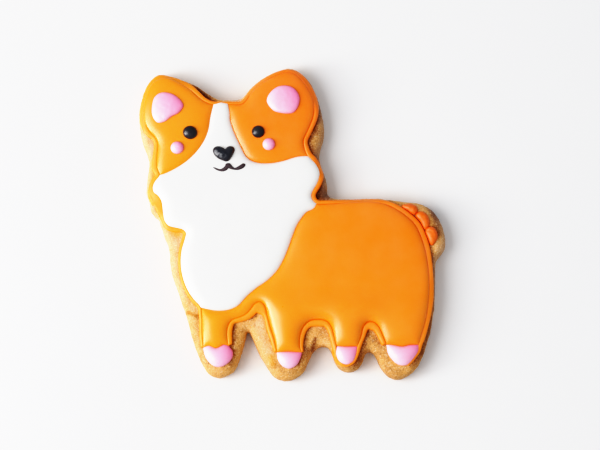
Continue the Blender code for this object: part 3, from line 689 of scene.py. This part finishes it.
class BISCUIT_OT_slab(Operator):
    """Bake the slab: a cut edge with a soft shoulder, a coarse crumb and a flat underside"""

    bl_idname = "biscuit.slab"
    bl_label = "Gingerbread slab"

    def execute(self, context):
        slab = context.scene.biscuit_slab
        loop, shoulder = slab_outline()
        drop = slab.drop / MM
        top = frame_top("biscuit")
        outer = iced_edge()

        # Rings of the side, from the table up: (distance in, height).
        foot = [(0.95, 0.0), (0.62, 0.03), (0.36, 0.14), (0.18, 0.34), (0.07, 0.62), (0.01, 0.95)]
        wall = [(0.0, z) for z in np.linspace(1.3, top - drop, 9)]
        rings = [(np.full(len(loop), inset), z) for inset, z in foot + wall]
        for angle in (9.0, 18.0, 27.0, 36.0, 45.0):
            part = 1.0 - cos(radians(angle))
            rings.append((shoulder * part, top - drop + drop * sin(radians(angle))))
        normal = left_of(loop)
        sides = [
            np.column_stack((loop - normal * inset[:, None], np.full(len(loop), z))) for inset, z in rings
        ]

        # Top: fine where it is bare, wide under the icing.
        rim = sides[-1][:, :2]
        fine = hexagonal(rim.min(0), rim.max(0), DOUGH_STEP)
        fine = fine[inside(fine, rim)]
        covered, _ = nearest(fine, outer)
        fine = fine[(~inside(fine, outer)) | (covered < 0.6)]
        fine = fine[nearest(fine, rim)[0] > 0.2]
        wide = hexagonal(rim.min(0), rim.max(0), ICED_STEP)
        wide = wide[inside(wide, outer)]
        wide = wide[nearest(wide, outer)[0] > 1.5]
        sheet = Sheet([rim], (), DOUGH_STEP, np.vstack((fine, wide)))
        heights = slab_height(sheet.points, loop, shoulder)
        heights[: sheet.rim] = sides[-1][:, 2]
        under_icing = inside(sheet.points, outer) & (nearest(sheet.points, outer)[0] > 0.3)
        heights[under_icing] -= 0.12  # so that the dough can't show through

        # Underside: flat where it rests, with shallow hollows.
        floor = Sheet([sides[0][:, :2]], (), 1.7)
        hollow = np.clip(0.22 * lumps(floor.points, 5.0, 3.1) + 0.1 * lumps(floor.points, 2.0, 8.4), 0.0, 0.3)
        hollow[: floor.rim] = 0.0

        count = len(loop)
        points = np.vstack(sides[:-1] + [np.column_stack((sheet.points, heights))])
        faces = []
        for ring in range(len(sides) - 1):
            for i in range(count):
                j = (i + 1) % count
                low, high = ring * count, (ring + 1) * count
                faces.append((high + i, high + j, low + j, low + i))
        first = (len(sides) - 1) * count
        faces += [tuple(first + face) for face in sheet.faces]
        base = len(points)
        own = np.arange(floor.rim, len(floor.points))
        points = np.vstack((points, np.column_stack((floor.points, hollow))[own]))
        moved = np.arange(len(floor.points))
        moved[own] = base + own - floor.rim
        faces += [tuple(moved[face][::-1]) for face in floor.faces]

        points, values = self.bake(slab, points, faces, loop, outer, base)
        piece = make_piece("gingerbread_slab", points, faces, gingerbread_finish(slab), values, sharp=80.0)
        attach(piece, "root")
        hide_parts("biscuit")
        return {"FINISHED"}

    @staticmethod
    def bake(slab, points, faces, loop, outer, base):
        """Crumb pushed out along the normals, and at each point how brown it is with painted shade added in,
        how stained, and how dusty and grey in painted shade.
        """
        height = points[:, 2]
        upper = np.clip(height / 1.2, 0.0, 1.0)
        relief = 0.16 * lumps(points, 4.5, 1.3) + 0.09 * lumps(points, 1.7, 5.2)
        grain = 1.2 * lumps(points, 0.75, 2.6) + 0.9 * np.abs(lumps(points, 0.42, 9.7))
        pit = -2.4 * np.clip(lumps(points, 1.3, 6.6) - 0.42, 0.0, 1.0)
        bare, beside = nearest(points[:, :2], loop)
        covered = inside(points[:, :2], outer) & (height > 5.0)
        calmer = np.where(height > 6.9, 0.4, 1.0)  # on the flat top
        push = upper * (relief * calmer + slab.crumb / MM * (grain + 3.0 * pit))
        push[covered] = np.minimum(push[covered], 0.0)
        push[base:] = 0.0

        # Browner towards the foot of the side and round the feet. Browner on the side away from the chest,
        # partly real browning and partly painted shade on the side away from the light.
        flat = points[:, :2]
        side = np.clip((6.2 - height) / 5.0, 0.0, 1.0)
        east = np.clip((flat[:, 0] + 30.0) / 70.0, 0.0, 1.0)
        feet = np.clip((-18.0 - flat[:, 1]) / 18.0, 0.0, 1.0)
        baked_and_shaded = 0.20 + 0.05 * side + 0.22 * east + 0.31 * feet + 0.10 * lumps(points, 6.0, 4.4)
        baked_and_shaded += 0.35 * np.clip(0.4 - height, 0.0, 0.4)
        away, index = nearest(flat, outer)
        painted_shadow = np.clip(1.6 * left_of(outer)[index, 0] - 0.2, 0.0, 1.0)  # painted shadow in strips on the right of the icing, away from the light
        high = 0.35 + 0.65 * np.clip((height - 3.5) / 3.0, 0.0, 1.0)
        baked_and_shaded += (0.72 - 0.3 * feet) * high * painted_shadow * np.exp(-((away / 1.25) ** 2))
        # Dull grey on the right edge of the side: partly dust, partly painted shade away from the light.
        dust_and_shade = np.clip(1.5 * left_of(loop)[beside, 0] - 0.1, 0.0, 1.0) * eased((flat[:, 0] - 2.0) / 6.0)
        dust_and_shade *= 0.55 * eased((flat[:, 1] + 30.0) / 12.0) * np.exp(-((bare / 1.6) ** 2))

        baked_and_shaded += marks(flat, BROWNED_AND_SHADED)
        stained = marks(flat, SMEARED)
        points = points + face_normals(points, faces) * push[:, None]
        points[:, 2] = np.maximum(points[:, 2], 0.0)
        values = {"baked_and_shaded": np.clip(baked_and_shaded, 0.0, 1.6), "stained": np.clip(stained, 0.0, 1.0), "dust_and_shade": dust_and_shade}
        return points, values


# ---------------------------------------------------------------- icing

class IcingSettings(PropertyGroup):
    """Sizes and colours of the icing."""

    edge: FloatProperty(
        name="Edge height", description="Height above the slab of the crease round an area of icing",
        default=0.00035, min=0.0, unit="LENGTH",
    )
    white_step: FloatProperty(
        name="White step", description="How much higher the white icing starts",
        default=0.0002, min=0.0, unit="LENGTH",
    )
    shoulder: FloatProperty(
        name="Shoulder height", description="How much an area of icing rises over its rounded edge",
        default=0.00135, min=0.0, unit="LENGTH",
    )
    reach: FloatProperty(
        name="Shoulder reach", description="How far in from its edge an area rises fast",
        default=0.0028, min=0.0003, unit="LENGTH",
    )
    dome: FloatProperty(
        name="Dome height", description="How much a wide area of icing swells in the middle",
        default=0.0008, min=0.0, unit="LENGTH",
    )
    dome_reach: FloatProperty(
        name="Dome reach", description="How far in from its edge an area swells slowly",
        default=0.008, min=0.001, unit="LENGTH",
    )
    leg_rise: FloatProperty(
        name="Leg height", description="How much more the icing of the legs bulges",
        default=0.0017, min=0.0, unit="LENGTH",
    )
    waves: FloatProperty(
        name="Unevenness", description="Height of the slow waves on a flooded area",
        default=0.00006, min=0.0, unit="LENGTH",
    )
    rope: FloatProperty(
        name="Piped height", description="Greatest height of the piped line above its edges",
        default=0.00100, min=0.0002, unit="LENGTH",
    )
    toe_reach: FloatProperty(
        name="Toe reach", description="How far in from its edge a toe swells slowly", default=0.003,
        min=0.0005, unit="LENGTH",
    )
    ear_height: FloatProperty(
        name="Ear height", description="Height that the icing of the ears levels off at", default=0.0011,
        min=0.0002, unit="LENGTH",
    )
    dot_height: FloatProperty(
        name="Dot height", description="Height that the cheeks, eyes and nose level off at", default=0.003,
        min=0.0002, unit="LENGTH",
    )
    mouth_height: FloatProperty(
        name="Mouth height", description="Height that the mouth levels off at", default=0.0006, min=0.0002,
        unit="LENGTH",
    )
    tail_height: FloatProperty(
        name="Tail height", description="Height that the drops of the tail level off at", default=0.0022,
        min=0.0002, unit="LENGTH",
    )
    steepness: FloatProperty(
        name="Piped steepness", description="Height of the piped line for each half of its width",
        default=1.35, min=0.1,
    )
    orange: FloatVectorProperty(
        name="Orange", description="Colour of the coat where it lies thick",
        default=(1.0, 0.221, 0.002), **COLOUR,
    )
    # Painted light: the coat paler towards the light, and partly thinner icing.
    orange_thin_and_lit: FloatVectorProperty(
        name="Thin orange", description="Colour of the coat where it lies thin",
        default=(1.0, 0.372, 0.02), **COLOUR,
    )
    # Painted shade in the creases of the coat.
    orange_crease_shade: FloatVectorProperty(
        name="Orange in creases", description="Colour of the coat in its creases",
        default=(0.72, 0.11, 0.008), **COLOUR,
    )
    white: FloatVectorProperty(
        name="White", description="Colour of the face and chest", default=(0.92, 0.915, 0.90), **COLOUR,
    )
    # Painted shade in the creases of the white, warm where the orange lies beside it.
    white_crease_shade: FloatVectorProperty(
        name="White in creases", description="Colour of the face and chest in their creases",
        default=(0.86, 0.74, 0.66), **COLOUR,
    )
    # Pink is the shaded right of the pink icing and Pale pink its lit left: painted shade and painted light.
    pink: FloatVectorProperty(
        name="Pink", description="Colour of the ears, cheeks and toes on their right",
        default=(0.97, 0.25, 0.52), **COLOUR,
    )
    pink_lit: FloatVectorProperty(
        name="Pale pink", description="Colour of the ears, cheeks and toes on their left",
        default=(1.0, 0.74, 0.87), **COLOUR,
    )
    # Painted shade at the edge of the pink icing, strongest on its right, away from the light.
    pink_edge_shade: FloatVectorProperty(
        name="Pink at its edge", description="Colour at the edge of the pink icing",
        default=(0.90, 0.22, 0.25), **COLOUR,
    )
    black: FloatVectorProperty(
        name="Black", description="Colour of the eyes, nose and mouth",
        default=(0.022, 0.020, 0.028), **COLOUR,
    )
    black_edge: FloatVectorProperty(
        name="Black at its edge", description="Colour of the eyes and nose where they lie thin",
        default=(0.05, 0.012, 0.006), **COLOUR,
    )
    nose: FloatVectorProperty(
        name="Nose", description="Colour of the nose", default=(0.017, 0.019, 0.031), **COLOUR,
    )
    mouth: FloatVectorProperty(
        name="Mouth", description="Colour of the thin icing of the mouth",
        default=(0.070, 0.036, 0.045), **COLOUR,
    )
    roughness: FloatProperty(
        name="Roughness", description="Roughness of the set icing", default=0.31, **SHARE,
    )
    piped_roughness: FloatProperty(
        name="Piped roughness", description="Roughness of the piped line and the drops of the tail",
        default=0.5, **SHARE,
    )
    sheen: FloatProperty(
        name="Satin", description="Strength of the reflections on the set icing", default=1.0, **SHARE,
    )
    black_roughness: FloatProperty(
        name="Black roughness", description="Roughness of the black icing", default=0.30, **SHARE,
    )
    glow: FloatProperty(
        name="Glow", description="How much light passes under the skin of the icing", default=0.15, **SHARE,
    )


def paleness(points):
    """How pale the orange icing is: most towards the left ear, the chest and the feet, partly from thinner
    icing and partly as painted light from the left.
    """
    x, y = points[:, 0], points[:, 1]
    return 0.40 - 0.0055 * x - 0.008 * (np.maximum(y, -28.0) + 10.0) + 0.45 * eased((-15.0 - x) / 25.0)


def lit_side(points):
    """Painted light: falls from 1 at the lower left of a piece of icing, the side towards the light, to 0 at
    its upper right.
    """
    across = 0.92 * points[:, 0] + 0.39 * points[:, 1]
    return (across.max() - across) / (across.max() - across.min())


def make_flood(node, slot, slab, edge, shoulder, reach, dome, dome_reach):
    """Area of icing on the slab: it rounds up from a crease and then swells slowly. Sizes in millimetres."""
    icing = bpy.context.scene.biscuit_icing
    loop = smooth(grown(outline_of(node), GAP / 2 + OVERLAP), step=0.34)
    sheet = Sheet([loop], rings=(0.07, 0.18, 0.35, 0.6), spacing=0.46)
    ground = slab_height(loop, *slab)
    level = np.clip(sheet.settled(source=1.0 / reach ** 2, hold=1.0 / reach ** 2), 0.0, 1.0)
    swell = sheet.settled(source=1.0 / dome_reach ** 2, hold=1.0 / dome_reach ** 2)
    drift = lumps(sheet.points, 9.0, 2.0) + 0.5 * lumps(sheet.points, 4.0, 7.0)
    heights = sheet.settled(rim=ground) + edge + shoulder * np.sqrt(1.0 - (1.0 - level) ** 2)
    heights += dome * swell + icing.waves / MM * drift * level
    if slot == "orange_icing":
        across = sheet.points[:, 0]
        legs = eased((-20.0 - sheet.points[:, 1]) / 10.0)
        legs *= (1.0 - 0.6 * eased((across - 20.0) / 12.0)) * (1.0 - 0.4 * eased((-9.0 - across) / 7.0))
        heights += icing.leg_rise / MM * legs * level
        # Paler where the orange lies thin near its edge and, as painted light, towards the left.
        thin_and_lit = paleness(sheet.points) + 0.15 * (1.0 - swell)
    else:
        # Painted light: paler on the lit side.
        thin_and_lit = lit_side(sheet.points)
    # Painted shade in the crease round the edge, less on the lit side.
    crease = np.exp(-nearest(sheet.points, loop)[0] / CREASE_SHADE) * (0.42 + 0.15 * lumps(sheet.points, 3.0, 4.0))
    values = {"crease": crease * (1.0 - 0.75 * np.clip(thin_and_lit, 0.0, 1.0)), "thin_and_lit": np.clip(thin_and_lit, 0.0, 1.0)}
    body = make_body(f"{node}_flood", sheet, heights, ground - SET_IN, icing_colour(slot), values)
    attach(body, "root")
    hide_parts(node)


class BISCUIT_OT_flood(Operator):
    """Flood the coat, the head and the white of the face and chest"""

    bl_idname = "biscuit.flood"
    bl_label = "Flooded icing"

    def execute(self, context):
        icing = context.scene.biscuit_icing
        slab = slab_outline()
        for node, slot in FLOODED.items():
            edge = icing.edge + (icing.white_step if slot == "white_icing" else 0.0)
            sizes = (edge, icing.shoulder, icing.reach, icing.dome, icing.dome_reach)
            make_flood(node, slot, slab, *(size / MM for size in sizes))
        return {"FINISHED"}


class BISCUIT_OT_toes(Operator):
    """Flood the four small, high pink toes"""

    bl_idname = "biscuit.toes"
    bl_label = "Toes"

    def execute(self, context):
        icing = context.scene.biscuit_icing
        slab = slab_outline()
        for node in TOES:
            sizes = (
                0.3 * icing.edge, 1.15 * icing.shoulder, 0.7 * icing.reach, 1.5 * icing.dome, icing.toe_reach,
            )
            make_flood(node, "pink_icing", slab, *(size / MM for size in sizes))
        return {"FINISHED"}


class BISCUIT_OT_piped_edge(Operator):
    """Pipe the rounded line that runs round the icing and stops at three of the toes"""

    bl_idname = "biscuit.piped_edge"
    bl_label = "Piped edge"

    def execute(self, context):
        icing = context.scene.biscuit_icing
        slab = slab_outline()
        rope = icing.rope / MM
        for name, (strokes, _) in PIPED.items():
            inner, outer = piped_run(strokes)
            loop = smooth(np.vstack((outer, inner[::-1])), step=0.3)
            sheet = Sheet([loop], rings=(0.04, 0.12, 0.25, 0.42), spacing=0.24)
            from_inner, from_outer = (nearest(loop, line, closed=False)[0] for line in (inner, outer))
            outward = from_inner / (from_inner + from_outer)
            ground = slab_height(loop, *slab)
            lean = sheet.settled(rim=ground + outward * 0.08 + (1.0 - outward) * icing.edge / MM)
            round_top = rope * np.tanh(icing.steepness * sheet.bead() / rope)
            uneven = 1.0 + 0.08 * lumps(sheet.points, 5.0, 3.3) + 0.04 * lumps(sheet.points, 1.8, 6.1)
            across = sheet.points[:, 0]
            flatter = 0.45 * eased((-22.0 - across) / 16.0) + 0.42 * eased((across - 30.0) / 8.0)
            heights = lean + round_top * uneven * (1.0 - flatter)
            # The line never dips below the rounded edge of the slab.
            skin = slab_height(sheet.points, *slab) + np.minimum(0.22, 0.08 + 0.4 * sheet.bead())
            heights[sheet.rim :] = np.maximum(heights, skin)[sheet.rim :]
            crease = loop[outward < 0.5]
            # Painted light: paler towards the left. Painted shade in the crease at the inner edge, deepest on
            # the right rim, away from the light.
            thin_and_lit = np.clip(paleness(sheet.points) + 0.12, 0.0, 1.0)
            painted_shade = 0.4 * np.exp(-nearest(sheet.points, crease, closed=False)[0] / 0.25) * (1.0 - 0.85 * thin_and_lit)
            painted_shade *= 1.0 + 0.8 * eased((across - 30.0) / 8.0)
            values = {"crease": painted_shade, "thin_and_lit": thin_and_lit}
            body = make_body(name, sheet, heights, ground - 0.3, icing_colour("piped_icing"), values)
            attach(body, "root")
            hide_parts(*strokes)
        return {"FINISHED"}


def surface_under(points, *names):
    """Height of the finished surface of the named pieces at each point."""
    corners, faces = [], []
    for name in names:
        mesh = bpy.data.objects[name].data
        first = len(corners)
        corners += [v.co / MM for v in mesh.vertices]
        faces += [[first + i for i in face.vertices] for face in mesh.polygons]
    tree = BVHTree.FromPolygons(corners, faces)
    found = []
    for x, y in points:
        hit = tree.ray_cast(Vector((x, y, 50.0)), Vector((0.0, 0.0, -1.0)))[0]
        if hit is None:
            raise RuntimeError("a topping hangs over the edge of its icing")
        found.append(hit.z)
    return np.array(found)


def make_topping(
    node, slot, under, height, steepness, rings=(0.05, 0.15, 0.32), spacing=0.26, spread=0.0, uneven=0.06,
    finish=None, painted_shade=0.0,
):
    """Rounded drop of icing over a solid's outline, set into the surface under it. Height in metres."""
    height = height / MM
    loop = smooth(grown(outline_of(node), spread), step=0.2, corner=180.0)
    sheet = Sheet([loop], rings, spacing)
    ground = surface_under(sheet.points, *under)
    bead = height * np.tanh(steepness * sheet.bead() / height)
    bead *= 1.0 + uneven * lumps(sheet.points, 2.2, 1.9) + uneven * lumps(sheet.points, 1.1, 8.9)
    # Painted light on the side towards the light, and painted shade in the crease round the edge.
    thin_and_lit = np.clip(paleness(sheet.points), 0.0, 1.0) if slot == "orange_icing" else lit_side(sheet.points)
    crease = painted_shade + (0.8 - painted_shade) * np.exp(-nearest(sheet.points, loop)[0] / CREASE_SHADE) * (1.0 - 0.6 * thin_and_lit)
    values = {"crease": crease, "thin_and_lit": thin_and_lit}
    body = make_body(
        f"{node}_icing", sheet, ground + bead, ground[: sheet.rim] - SET_IN,
        icing_colour(finish or slot), values,
    )
    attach(body, "root")
    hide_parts(node)


class BISCUIT_OT_ears_and_cheeks(Operator):
    """Add the pink ears and cheeks that lie on the head"""

    bl_idname = "biscuit.ears_and_cheeks"
    bl_label = "Ears and cheeks"

    def execute(self, context):
        icing = context.scene.biscuit_icing
        for side in ("left", "right"):
            head = (f"icing_head_{side}_flood",)
            make_topping(f"ear_{side}", "pink_icing", head, icing.ear_height, steepness=0.6, spacing=0.34)
            make_topping(f"cheek_{side}", "pink_icing", head, icing.dot_height, steepness=1.0)
        return {"FINISHED"}


class BISCUIT_OT_face(Operator):
    """Add the black eyes, nose and mouth"""

    bl_idname = "biscuit.face"
    bl_label = "Eyes, nose and mouth"

    def execute(self, context):
        icing = context.scene.biscuit_icing
        for side in ("left", "right"):
            head = (f"icing_head_{side}_flood",)
            make_topping(f"eye_{side}", "black_icing", head, icing.dot_height, steepness=0.95)
        muzzle = ("icing_white_flood",)
        make_topping(
            "nose", "black_icing", muzzle, icing.dot_height, steepness=0.9, uneven=0.13, finish="nose_icing",
        )
        make_topping(
            "mouth", "black_icing", muzzle, icing.mouth_height, steepness=0.9, rings=(0.04, 0.12),
            spacing=0.16, finish="mouth_icing",
        )
        return {"FINISHED"}


class BISCUIT_OT_tail(Operator):
    """Add the row of drops that makes the tail"""

    bl_idname = "biscuit.tail"
    bl_label = "Tail drops"

    def execute(self, context):
        slab, _ = slab_outline()
        for number in (1, 2, 3):
            node = f"tail_bead_{number}"
            room, _ = nearest(outline_of(node), slab)
            # Each drop gets painted shade all over, as it lies on the side away from the light.
            make_topping(
                node, "orange_icing", ("gingerbread_slab",), context.scene.biscuit_icing.tail_height,
                steepness=1.2, spread=np.clip(room - 0.9, -0.2, 0.3), finish="piped_icing", painted_shade=0.45,
            )
        return {"FINISHED"}


# ---------------------------------------------------------------- stage

class StageSettings(PropertyGroup):
    """Table, light and camera."""

    table_radius: FloatProperty(
        name="Table radius", description="Half the width of the round table", default=2.5, min=0.1,
        unit="LENGTH",
    )
    table: FloatVectorProperty(
        name="Table", description="Colour of the table", default=(0.90, 0.90, 0.91), **COLOUR,
    )
    key: FloatProperty(
        name="Main light", description="Power of the soft light on the left",
        default=4.6, min=0.0, unit="POWER",
    )
    low: FloatProperty(
        name="Low light", description="Power of the light that grazes the biscuit from the left",
        default=1.9, min=0.0, unit="POWER",
    )
    key_place: FloatVectorProperty(
        name="Main light place", description="From the middle of the biscuit to the main light",
        default=(-0.535, -0.115, 0.585), **PLACE,
    )
    key_size: FloatProperty(
        name="Main light size", description="Width of the main light", default=0.56, min=0.01, unit="LENGTH",
    )
    low_place: FloatVectorProperty(
        name="Low light place", description="From the middle of the biscuit to the low light",
        default=(-0.68, -0.15, 0.28), **PLACE,
    )
    low_size: FloatProperty(
        name="Low light size", description="Width of the low light", default=0.22, min=0.01, unit="LENGTH",
    )
    sky: FloatProperty(
        name="Room light", description="Brightness of the light from all round", default=0.53, min=0.0,
    )
    distance: FloatProperty(
        name="Camera distance", description="From the camera to the biscuit",
        default=0.7, min=0.1, unit="LENGTH",
    )
    tilt: FloatProperty(
        name="Camera tilt", description="How far the camera leans back from straight above",
        default=radians(8.0), unit="ROTATION",
    )
    aim: FloatVectorProperty(
        name="Camera aim", description="From the middle of the biscuit to where the camera looks",
        default=(0.0026, 0.0001, 0.0), **PLACE,
    )
    view_width: FloatProperty(
        name="View width", description="Width of the table that the camera sees",
        default=0.192, min=0.01, unit="LENGTH",
    )


class BISCUIT_OT_stage(Operator):
    """Lay a pale table, hang the lights and set up the camera"""

    bl_idname = "biscuit.stage"
    bl_label = "Stage"

    def execute(self, context):
        scene = context.scene
        stage = scene.biscuit_stage
        mesh = bpy.data.meshes.new("table")
        sides = 64
        angles = [2 * pi * i / sides for i in range(sides)]
        ring = [(stage.table_radius * cos(angle), stage.table_radius * sin(angle), 0.0) for angle in angles]
        mesh.from_pydata(ring, [], [list(range(sides))])
        table = bpy.data.objects.new("table", mesh)
        scene.collection.objects.link(table)
        material, tree, shader, place = new_finish("table")
        cloud = ramp(tree, grains(tree, place, 60.0, 2.0), 0.3, 0.7)
        tint = tuple(0.985 * c for c in stage.table)
        fill(tree, shader, {"Base Color": blend(tree, cloud, stage.table, tint), "Roughness": 0.6})
        mesh.materials.append(material)

        world = scene.world or bpy.data.worlds.new("room")
        scene.world = world
        world.use_nodes = True
        sky = world.node_tree.nodes["Background"]
        fill(world.node_tree, sky, {"Color": (0.985, 0.99, 1.0, 1.0), "Strength": stage.sky})

        middle = Vector(((CAD_BOX[0][0] + CAD_BOX[1][0]) / 2, (CAD_BOX[0][1] + CAD_BOX[1][1]) / 2, 0.0))
        self.hang(scene, "main light", stage.key_place, middle, stage.key_size, stage.key)
        self.hang(scene, "low light", stage.low_place, middle, stage.low_size, stage.low)

        camera = bpy.data.cameras.new("camera")
        camera.sensor_width = 36.0
        camera.lens = camera.sensor_width * stage.distance / stage.view_width
        camera.clip_start = 0.01
        viewer = bpy.data.objects.new("camera", camera)
        target = middle + Vector(stage.aim)
        away = Vector((0.0, -sin(stage.tilt), cos(stage.tilt)))
        viewer.location = target + away * stage.distance
        viewer.rotation_euler = away.to_track_quat("Z", "Y").to_euler()
        scene.collection.objects.link(viewer)
        scene.camera = viewer
        self.develop(scene)
        return {"FINISHED"}

    @staticmethod
    def hang(scene, name, place, target, size, power):
        """Square soft light that points at the target."""
        light = bpy.data.lights.new(name, "AREA")
        light.shape = "SQUARE"
        light.size = size
        light.energy = power
        lamp = bpy.data.objects.new(name, light)
        lamp.location = target + Vector(place)
        lamp.rotation_euler = Vector(place).to_track_quat("Z", "Y").to_euler()
        scene.collection.objects.link(lamp)

    @staticmethod
    def develop(scene):
        """Set the tone curve."""
        view = scene.view_settings
        view.view_transform = "Standard"
        view.look = "None"
        view.use_curve_mapping = True
        mapping = view.curve_mapping
        mapping.white_level = (2.0, 2.0, 2.0)
        tone = mapping.curves[3]  # the one for all three colours
        for x, y in TONES:
            tone.points.new(x, y)
        mapping.update()


PIECES = (
    BISCUIT_OT_slab, BISCUIT_OT_flood, BISCUIT_OT_toes, BISCUIT_OT_piped_edge, BISCUIT_OT_ears_and_cheeks,
    BISCUIT_OT_face, BISCUIT_OT_tail, BISCUIT_OT_stage,
)


class BISCUIT_PT_panel(Panel):
    """Sizes, colours and steps of the biscuit"""

    bl_idname = "BISCUIT_PT_panel"
    bl_label = "Iced biscuit"
    bl_space_type = "VIEW_3D"
    bl_region_type = "UI"
    bl_category = "Biscuit"

    def draw(self, context):
        scene = context.scene
        for settings in (scene.biscuit_slab, scene.biscuit_icing, scene.biscuit_stage):
            box = self.layout.box()
            for key in settings.bl_rna.properties.keys():
                if key not in ("rna_type", "name"):
                    box.prop(settings, key)
        for piece in PIECES:
            self.layout.operator(piece.bl_idname)


CLASSES = (SlabSettings, IcingSettings, StageSettings, *PIECES, BISCUIT_PT_panel)


def register():
    """Add the settings, the operators and the panel to Blender."""
    for cls in CLASSES:
        bpy.utils.register_class(cls)
    bpy.types.Scene.biscuit_slab = PointerProperty(type=SlabSettings)
    bpy.types.Scene.biscuit_icing = PointerProperty(type=IcingSettings)
    bpy.types.Scene.biscuit_stage = PointerProperty(type=StageSettings)


def unregister():
    """Take them out again."""
    del bpy.types.Scene.biscuit_slab
    del bpy.types.Scene.biscuit_icing
    del bpy.types.Scene.biscuit_stage
    for cls in reversed(CLASSES):
        bpy.utils.unregister_class(cls)


def main():
    """Make every piece and the stage."""
    register()
    bpy.ops.biscuit.slab()
    bpy.ops.biscuit.flood()
    bpy.ops.biscuit.toes()
    bpy.ops.biscuit.piped_edge()
    bpy.ops.biscuit.ears_and_cheeks()
    bpy.ops.biscuit.face()
    bpy.ops.biscuit.tail()
    bpy.ops.biscuit.stage()


if __name__ == "__main__":
    main()
